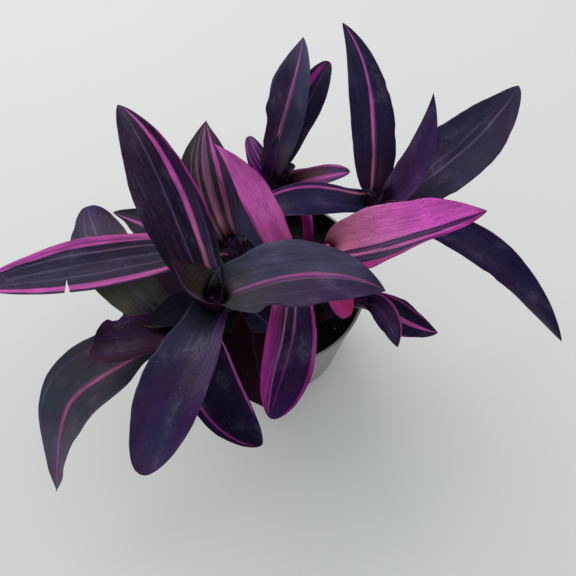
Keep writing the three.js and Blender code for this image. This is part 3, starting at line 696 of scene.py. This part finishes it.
def add_stem(shell, name):
    """A fleshy stem with a swollen ring where each leaf leaves it, and a pointed growing tip."""
    shares = sorted({leaf[2] for leaf in LEAVES if leaf[1] == name})
    t = np.linspace(0, 1, STEM_RINGS)
    centre, axis = stem_at(name, t)
    length = run_length(centre)
    radius = STEM_RADIUS * (1 - (1 - TOP_SHRINK) * t ** 3)
    for share in shares:
        gap = (length - np.interp(share, t, length)) / NODE_SPREAD
        radius = radius * (1 + NODE_SWELL * np.exp(-gap ** 2))
        radius = radius - GROOVE_DEPTH * np.exp(-(gap * GROOVE_SHARPNESS) ** 2)
    foot = np.linspace(STEM_FOOT, centre[0, 2], FOOT_ROWS + 1)[:-1]
    cap = np.linspace(0, 1, TIP_ROWS + 1)[1:]
    centre = np.concatenate([np.column_stack([np.tile(centre[0, :2], (len(foot), 1)), foot]), centre,
                             centre[-1] + axis[-1] * (cap * TIP_LENGTH)[:, None]])
    axis = np.concatenate([np.tile([0, 0, 1], (len(foot), 1)), axis, np.repeat(axis[-1:], len(cap), 0)])
    radius = np.concatenate([np.full(len(foot), STEM_RADIUS * FOOT_SHRINK), radius,
                             radius[-1] * np.sqrt(np.maximum(TIP_LEAST, 1 - cap ** 2))])
    right = square_to(np.tile([1.0, 0, 0], (len(axis), 1)), axis)
    ahead = np.cross(axis, right)
    turn = 2 * math.pi * np.arange(STEM_SIDES) / STEM_SIDES
    ring = right[:, None] * np.cos(turn)[None, :, None] + ahead[:, None] * np.sin(turn)[None, :, None]
    points = (centre[:, None] + ring * radius[:, None, None]).reshape(-1, 3)
    rows = len(centre)
    colour = np.repeat(three_tone(STEM_TONES[name], np.linspace(0, 1, rows)), STEM_SIDES, 0)
    grain = np.column_stack([np.tile(turn * STEM_RADIUS, rows), np.repeat(run_length(centre), STEM_SIDES),
                             np.full(rows * STEM_SIDES, 5 + list(STEMS).index(name) * STEM_GRAIN)])
    points = np.concatenate([points, centre[:1], centre[-1:]])
    colour = np.concatenate([colour, colour[:1], colour[-1:]])
    grain = np.concatenate([grain, grain[:1], grain[-1:]])
    paint = {"leaf_colour": colour, "grain": grain}
    for key, value in STEM_MARKS.items():
        paint[key] = np.full(len(points), float(value))
    for key in STRIPE_NAMES:
        paint[key] = np.tile([FAR_OUT, 0, 0], (len(points), 1))
        paint[key + "_tint"] = np.zeros((len(points), 3))
    bottom = rows * STEM_SIDES
    last = bottom - STEM_SIDES
    k = np.arange(STEM_SIDES)
    after = (k + 1) % STEM_SIDES
    shell.add(points, grid_faces(rows, STEM_SIDES, closed=True), paint,
              np.stack([np.full(STEM_SIDES, bottom), after, k], axis=1),
              np.stack([np.full(STEM_SIDES, bottom + 1), last + k, last + after], axis=1))


def circle(sides):
    """Places around a circle with radius 1."""
    turn = 2 * math.pi * np.arange(sides) / sides
    return np.column_stack([np.cos(turn), np.sin(turn)])


def ringed_piece(name, rings, paint, finish):
    """A piece from rings of points, with a face over its first ring and one over its last."""
    points = np.array(rings)
    rows, sides = points.shape[:2]
    ring = np.arange(sides)
    shell = Shell()
    shell.add(points, grid_faces(rows, sides, closed=True), paint,
              ring[None, ::-1], ring[None] + (rows - 1) * sides)
    return shell.piece(name, finish)


class Field:
    """A shader socket that Python's operators work on."""

    def __init__(self, finish, socket):
        self.finish = finish
        self.socket = socket

    def maths(self, operation, *values):
        return self.finish.node("ShaderNodeMath", {"operation": operation}, dict(enumerate(values)))

    def __add__(self, other):
        return self.maths("ADD", self, other)

    __radd__ = __add__

    def __sub__(self, other):
        return self.maths("SUBTRACT", self, other)

    def __rsub__(self, other):
        return self.maths("SUBTRACT", other, self)

    def __mul__(self, other):
        return self.maths("MULTIPLY", self, other)

    __rmul__ = __mul__

    def __abs__(self):
        return self.maths("ABSOLUTE", self)


class Finish:
    """A procedural material; constants are set on the shader's own sockets."""

    def __init__(self, name, constants):
        self.material = bpy.data.materials.new(name)
        self.material.use_nodes = True
        self.tree = self.material.node_tree
        self.shader = self.tree.nodes["Principled BSDF"]
        for key, value in constants.items():
            self.shader.inputs[key].default_value = value

    def feed(self, socket, value):
        if isinstance(value, Field):
            self.tree.links.new(value.socket, socket)
        else:
            socket.default_value = value

    def node(self, kind, settings, inputs, output=0):
        made = self.tree.nodes.new(kind)
        for key, value in settings.items():
            setattr(made, key, value)
        for key, value in inputs.items():
            self.feed(made.inputs[key], value)
        return Field(self, made.outputs[output])

    def attribute(self, name, output):
        return self.node("ShaderNodeAttribute", {"attribute_name": name}, {}, output)

    def position(self):
        return self.node("ShaderNodeTexCoord", {}, {}, "Object")

    def stretched(self, vector, scale):
        return self.node("ShaderNodeVectorMath", {"operation": "MULTIPLY"}, {0: vector, 1: scale})

    def scaled(self, colour, factor):
        return self.node("ShaderNodeVectorMath", {"operation": "SCALE"}, {0: colour, "Scale": factor})

    def part(self, vector, axis):
        return self.node("ShaderNodeSeparateXYZ", {}, {0: vector}, axis)

    def noise(self, vector, scale=1, detail=2, roughness=0.5):
        return self.node("ShaderNodeTexNoise", {},
                         {"Vector": vector, "Scale": scale, "Detail": detail, "Roughness": roughness})

    def ramp(self, value, low, high):
        return self.node("ShaderNodeMapRange", {"interpolation_type": "SMOOTHSTEP"},
                         {0: value, 1: low, 2: high})

    def mixed(self, share, first, second):
        return self.node("ShaderNodeMix", {"data_type": "RGBA"}, {0: share, 6: first, 7: second}, 2)

    def bump(self, height, strength, distance):
        return self.node("ShaderNodeBump", {},
                         {"Height": height, "Strength": strength, "Distance": distance}, "Normal")

    def surface(self, **inputs):
        for key, value in inputs.items():
            self.feed(self.shader.inputs[key.replace("_", " ").title()], value)
        return self.material


def foliage_finish():
    """Waxy leaf: long fine veins, soft clouds of tone, and pink stripes where the leaf says so."""
    finish = Finish("foliage", {"Specular IOR Level": 0.22, "Specular Tint": (0.8, 0.8, 1.0, 1)})
    grain = finish.attribute("grain", "Vector")

    def grained(x, y, z, detail):
        return finish.noise(finish.stretched(grain, (x, y, z)), detail=detail)

    streak = grained(1.1, 0.018, 1, 3)
    fine = grained(3.2, 0.035, 1, 2)
    cloud = grained(0.09, 0.05, 1, 4)
    drift = grained(0.06, 0.03, 1.7, 2)
    pucker = grained(0.8, 0.45, 1.3, 3)
    patchy = grained(0.4, 0.05, 2.3, 3)
    wax_glint_streak = grained(1.1, 0.5, 1.9, 3)
    glint_speck = grained(1.4, 1.1, 2.1, 1)
    tone = 1 + (streak - 0.5) * 0.4 + (cloud - 0.5) * 1.1 + (fine - 0.5) * 0.25 + (patchy - 0.5) * 0.5
    base = finish.attribute("leaf_colour", "Vector")
    warm = finish.stretched(base, (1.2, 0.9, 0.95))
    cool = finish.stretched(base, (0.86, 1.04, 1.12))
    colour = finish.mixed(finish.ramp(drift, 0.38, 0.62), warm, cool)
    broken = finish.ramp(pucker, 0.3, 0.6)
    threads = (1 - finish.ramp(abs(streak - 0.56), 0.0, 0.025)) * finish.attribute("thread", "Fac")
    colour = finish.mixed(threads * broken, colour, opaque(PALE))
    wobble = (streak - 0.5) * 0.05 + (patchy - 0.5) * 0.12
    gaps = (1 - finish.ramp(patchy, 0.38, 0.56)) * finish.attribute("worn", "Fac") * 0.65
    strands = 1 - gaps - (1 - finish.ramp(fine, 0.36, 0.56)) * 0.2
    for key in STRIPE_NAMES:
        stripe = finish.attribute(key, "Vector")
        outside = abs(finish.part(stripe, 0) + wobble) - finish.part(stripe, 2)
        share = (1 - finish.ramp(outside, -0.03, 0.045)) * finish.part(stripe, 1) * strands
        colour = finish.mixed(share, colour, finish.attribute(key + "_tint", "Vector"))
    colour = finish.scaled(colour, tone)
    lines = (1 - finish.ramp(abs(fine - 0.5), 0.0, 0.05)) * finish.attribute("vein", "Fac") * broken
    colour = finish.mixed(lines, colour, finish.scaled(colour, 0.3))
    margin = finish.ramp(finish.attribute("rim", "Fac"), 0.96, 0.985) * 0.2
    colour = finish.mixed(margin, colour, opaque(RIM_TINT))
    # Pale patches, partly a waxy film and partly painted glints and sheen, then pale specks that are
    # painted glints
    bloom_and_glint = finish.ramp(cloud, 0.52, 0.7) * (0.3 + finish.ramp(wax_glint_streak, 0.42, 0.66) * 0.7)
    colour = finish.mixed(bloom_and_glint * finish.attribute("bloom_and_glint", "Fac"), colour, opaque(WAX_GLINT_TINT))
    colour = finish.mixed(finish.ramp(glint_speck, 0.75, 0.8) * 0.3, colour, opaque(WAX_GLINT_TINT))
    dull = finish.attribute("dull", "Fac")
    return finish.surface(
        base_color=colour,
        roughness=0.37 + dull * 0.22 + (cloud - 0.5) * 0.4 + (pucker - 0.5) * 0.3,
        normal=finish.bump(streak * 0.4 + fine * 0.15 + pucker, 0.35, 0.0005))


def pot_finish():
    """Thin grey plastic, faintly mottled, with dark soil-coloured patches of painted shade on the inside.
    """
    finish = Finish("pot_plastic", {"Specular IOR Level": 0.45})
    place = finish.position()
    mottle = finish.noise(place, scale=60, detail=4)
    grit = finish.noise(place, scale=900, detail=3, roughness=0.65)
    dust = finish.noise(place, scale=220, detail=4, roughness=0.7)
    # The inside gets dark soil-coloured patches as painted shade; the patches are also rougher and
    # bumpier
    inside_shade = finish.attribute("inside", "Fac") * finish.ramp(dust, 0.25, 0.5)
    grey = finish.mixed(mottle, opaque(POT_GREY), opaque(POT_LIGHT))
    colour = finish.mixed(inside_shade, grey, opaque(SOIL_DARK_SHADED))
    return finish.surface(
        base_color=colour,
        roughness=0.5 + (mottle - 0.5) * 0.15 + inside_shade * 0.3,
        normal=finish.bump(grit + dust * inside_shade, 0.12, 0.0004))


def soil_finish(name, dark, light):
    """Damp crumbly soil, or one of its grains."""
    finish = Finish(name, {"Specular IOR Level": 0.3})
    place = finish.position()
    lump = finish.noise(place, scale=260, detail=4, roughness=0.7)
    dust = finish.noise(place, scale=1500, detail=2)
    colour = finish.mixed(finish.ramp(lump, 0.35, 0.75), opaque(dark), opaque(light))
    return finish.surface(
        base_color=colour,
        roughness=0.75 + (dust - 0.5) * 0.3,
        normal=finish.bump(dust * 0.4 + lump, 0.6, 0.0008))


def pot_radius(height):
    return BASE_RADIUS + (RIM_RADIUS - BASE_RADIUS) / POT_HEIGHT * height


def make_pot():
    """The pot: a tapered wall with a low lip and a rounded rim, closed at the base."""
    lip = POT_HEIGHT - LIP_HEIGHT
    heights = np.linspace(BASE_EDGE, lip - LIP_STEP, WALL_ROWS)
    inset = blend(LIP_STEP / 2, LIP_STEP, (heights - BASE_EDGE) / (lip - BASE_EDGE))
    turn = np.linspace(0, math.pi / 2, ARC_POINTS)
    inner_rim = RIM_RADIUS - POT_WALL + RIM_INSET
    inner_foot = pot_radius(POT_FLOOR) - POT_WALL - LIP_STEP
    fall = np.linspace(0, 1, INSIDE_ROWS)
    base = pot_radius(0) - BASE_EDGE
    outside = np.concatenate([
        [(AXIS_HOLE, 0), (base / 2, 0)],
        [(base + out, up) for out, up in BASE_STEPS],
        np.column_stack([pot_radius(heights) - inset, heights]),
        [(pot_radius(lip) + out, lip + up) for out, up in LIP_STEPS],
        np.column_stack([RIM_RADIUS - OUTER_BEAD * (1 - np.cos(turn)),
                         POT_HEIGHT - OUTER_BEAD * (1 - np.sin(turn))]),
        np.column_stack([inner_rim + INNER_BEAD * (1 - np.sin(turn)),
                         POT_HEIGHT - INNER_BEAD * (1 - np.cos(turn))])])
    inside = np.concatenate([
        np.column_stack([blend(inner_rim, inner_foot, fall),
                         blend(POT_HEIGHT - RIM_INSET, POT_FLOOR, fall)]),
        [(inner_foot / 2, POT_FLOOR), (AXIS_HOLE, POT_FLOOR)]])
    around = circle(POT_SIDES)
    rings = [[(x * radius, y * radius, z) for x, y in around]
             for radius, z in np.concatenate([outside, inside])]
    mask = np.repeat([0.0] * len(outside) + [1.0] * len(inside), POT_SIDES)
    return ringed_piece("pot_shell", rings, {"inside": mask}, pot_finish())


def soil_radius(height):
    low = pot_radius(POT_FLOOR) - POT_WALL - LIP_STEP
    high = RIM_RADIUS - POT_WALL + RIM_INSET
    return blend(low, high, (height - POT_FLOOR) / (POT_HEIGHT - POT_FLOOR)) - FIT_GAP


def soil_height(x, y):
    """The height of the soil's lumpy top, which sinks a little towards the wall."""
    crown = SOIL_TOP - SOIL_SETTLE - SOIL_SINK * (x * x + y * y) / soil_radius(SOIL_TOP) ** 2
    return crown + LUMP_HEIGHT * noise.fractal((x * LUMP_SCALE, y * LUMP_SCALE, LUMP_SLICE), *LUMP_NOISE)


def make_soil():
    """The soil: a body just clear of the pot's wall and floor, with a lumpy top."""
    around = circle(SOIL_SIDES)
    foot = POT_FLOOR + FIT_GAP
    rings = []
    for z in (foot, foot + SOIL_BELT, SOIL_TOP - SOIL_SHOULDER):
        rings.append([(x, y, z) for x, y in around * soil_radius(z) * SOIL_SLACK])
    edge = soil_radius(SOIL_TOP - SOIL_DIP) - SOIL_EDGE
    for share in np.linspace(1, 0, SOIL_RINGS) ** RING_CROWDING:
        rings.append([(x, y, soil_height(x, y)) for x, y in around * max(share * edge, SOIL_CENTRE)])
    # Near-black soil colours, deepened as painted shade
    return ringed_piece("soil_bed", rings, {}, soil_finish("soil_bed", SOIL_DARK_SHADED, SOIL_BROWN_SHADED))


def scatter_tree(finish):
    """Geometry Nodes: small tumbled grains over a surface, made real and given their finish."""
    tree = bpy.data.node_groups.new("scattered_grains", "GeometryNodeTree")
    for label, kind in (("Surface", "Geometry"), ("Density", "Float"), ("Smallest", "Float"),
                        ("Largest", "Float"), ("Seed", "Int")):
        tree.interface.new_socket(label, in_out="INPUT", socket_type="NodeSocket" + kind)
    tree.interface.new_socket("Grains", in_out="OUTPUT", socket_type="NodeSocketGeometry")
    nodes = tree.nodes
    entry = nodes.new("NodeGroupInput")
    result = nodes.new("NodeGroupOutput")
    points = nodes.new("GeometryNodeDistributePointsOnFaces")
    grain = nodes.new("GeometryNodeMeshIcoSphere")
    grain.inputs["Radius"].default_value = 1
    grain.inputs["Subdivisions"].default_value = 1
    jitter = nodes.new("GeometryNodeSetPosition")
    wobble = nodes.new("ShaderNodeTexNoise")
    wobble.inputs["Scale"].default_value = GRAIN_WOBBLE
    centred = nodes.new("ShaderNodeVectorMath")
    centred.operation = "SUBTRACT"
    centred.inputs[1].default_value = (0.5, 0.5, 0.5)
    placed = nodes.new("GeometryNodeInstanceOnPoints")
    size = nodes.new("FunctionNodeRandomValue")
    size.data_type = "FLOAT"
    flat = nodes.new("FunctionNodeRandomValue")
    flat.data_type = "FLOAT_VECTOR"
    flat.inputs[0].default_value = FLATTEST
    flat.inputs[1].default_value = ROUNDEST
    shape = nodes.new("ShaderNodeVectorMath")
    shape.operation = "SCALE"
    spin = nodes.new("FunctionNodeRandomValue")
    spin.data_type = "FLOAT_VECTOR"
    spin.inputs[1].default_value = (FULL_TURN, FULL_TURN, FULL_TURN)
    real = nodes.new("GeometryNodeRealizeInstances")
    dressed = nodes.new("GeometryNodeSetMaterial")
    dressed.inputs["Material"].default_value = finish
    for source, output, target, into in (
            (entry, "Surface", points, "Mesh"), (entry, "Density", points, "Density"),
            (entry, "Seed", points, "Seed"), (grain, "Mesh", jitter, "Geometry"),
            (wobble, "Color", centred, 0), (centred, 0, jitter, "Offset"),
            (points, "Points", placed, "Points"), (jitter, "Geometry", placed, "Instance"),
            (entry, "Smallest", size, 2), (entry, "Largest", size, 3), (flat, 0, shape, 0),
            (size, 1, shape, "Scale"), (shape, 0, placed, "Scale"), (spin, 0, placed, "Rotation"),
            (placed, "Instances", real, "Geometry"), (real, "Geometry", dressed, "Geometry"),
            (dressed, "Geometry", result, "Grains")):
        tree.links.new(source.outputs[output], target.inputs[into])
    return tree


def scattered(name, surface, finish, density, smallest, largest, seed):
    """A plain mesh of grains scattered over the surface's mesh."""
    carrier = new_object(name + "_carrier", surface)
    modifier = carrier.modifiers.new("grains", "NODES")
    modifier.node_group = scatter_tree(finish)
    values = {"Density": density, "Smallest": smallest, "Largest": largest, "Seed": seed}
    for item in modifier.node_group.interface.items_tree:
        if item.name in values:
            modifier[item.identifier] = values[item.name]
    evaluated = carrier.evaluated_get(bpy.context.evaluated_depsgraph_get())
    mesh = bpy.data.meshes.new_from_object(evaluated)
    mesh.name = name
    bpy.data.objects.remove(carrier)
    return new_object(name, mesh)


def soil_surface():
    """A sheet that follows the soil's top, clear of the stems, for the grains to lie on."""
    edge = soil_radius(SOIL_TOP - SOIL_DIP) - SHEET_STEP
    count = int(edge / SHEET_STEP)
    places = [start[:2] for start, _, _ in STEMS.values()]
    points, cells, index = [], [], {}
    for i in range(-count, count + 1):
        for j in range(-count, count + 1):
            x, y = i * SHEET_STEP, j * SHEET_STEP
            index[i, j] = len(points)
            points.append((x * MM, y * MM, soil_height(x, y) * MM))
            free = all(math.hypot(x - a, y - b) > STEM_RADIUS + STEM_CLEARANCE for a, b in places)
            if math.hypot(x, y) < edge - SHEET_STEP and free:
                cells.append((i, j))
    faces = [(index[i, j], index[i + 1, j], index[i + 1, j + 1], index[i, j + 1]) for i, j in cells]
    mesh = bpy.data.meshes.new("soil_surface")
    mesh.from_pydata(points, [], faces)
    return mesh


def ride(piece, slot, *nodes):
    """Puts a piece on the one body, in the place of its solids."""
    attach(piece, "root")
    if nodes:
        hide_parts(*nodes)


def make_plant():
    finish = foliage_finish()
    for name in STEMS:
        shell = Shell()
        add_stem(shell, name)
        nest = 0
        for index, leaf in reversed(list(enumerate(LEAVES))):
            if leaf[1] == name:
                add_leaf(shell, leaf, index, nest)
                nest += 1
        ride(shell.piece(f"foliage_{name}", finish), "foliage", f"leafy_stem_{name}")


def make_lights():
    for name, (place, size, power, colour, shine) in LAMPS.items():
        light = bpy.data.lights.new(name, "AREA")
        light.size = size
        light.energy = power
        light.color = colour
        light.specular_factor = shine
        lamp = new_object(name, light)
        lamp.location = place
        lamp.rotation_euler = (-Vector(place)).to_track_quat("-Z", "Y").to_euler()
    world = bpy.data.worlds.new("soft_room")
    world.use_nodes = True
    room = world.node_tree.nodes["Background"].inputs
    room["Color"].default_value = ROOM_COLOUR
    room["Strength"].default_value = ROOM_LIGHT
    world.cycles_visibility.glossy = False
    bpy.context.scene.world = world


def make_floor():
    finish = Finish("pale_floor", {"Roughness": 0.6, "Base Color": opaque(FLOOR_PALE)})
    mesh = bpy.data.meshes.new("floor")
    corners = [(x * FLOOR_HALF, y * FLOOR_HALF, 0) for x, y in ((-1, -1), (1, -1), (1, 1), (-1, 1))]
    mesh.from_pydata(corners, [], [(0, 1, 2, 3)])
    mesh.materials.append(finish.material)
    new_object("floor", mesh)


def make_camera():
    bpy.context.scene.view_settings.view_transform = "Standard"
    camera = bpy.data.cameras.new("camera")
    camera.lens = LENS
    camera.sensor_width = SENSOR
    made = new_object("camera", camera)
    made.location = EYE
    made.rotation_euler = (math.radians(TILT), 0, 0)
    bpy.context.scene.camera = made


make_camera()
make_lights()
make_floor()
ride(make_pot(), "pot", "pot")
ride(make_soil(), "soil", "soil")
# The crumbs take the same near-black soil colours, deepened as painted shade
crumb_finish = soil_finish("soil_crumbs", SOIL_DARK_SHADED, SOIL_BROWN_SHADED)
perlite_finish = soil_finish("perlite", PERLITE_GREY, PERLITE_WHITE)
ride(scattered("soil_crumbs", soil_surface(), crumb_finish, *CRUMBS, SEED), "soil")
ride(scattered("perlite", soil_surface(), perlite_finish, *PERLITE, SEED + 1), "soil")
make_plant()
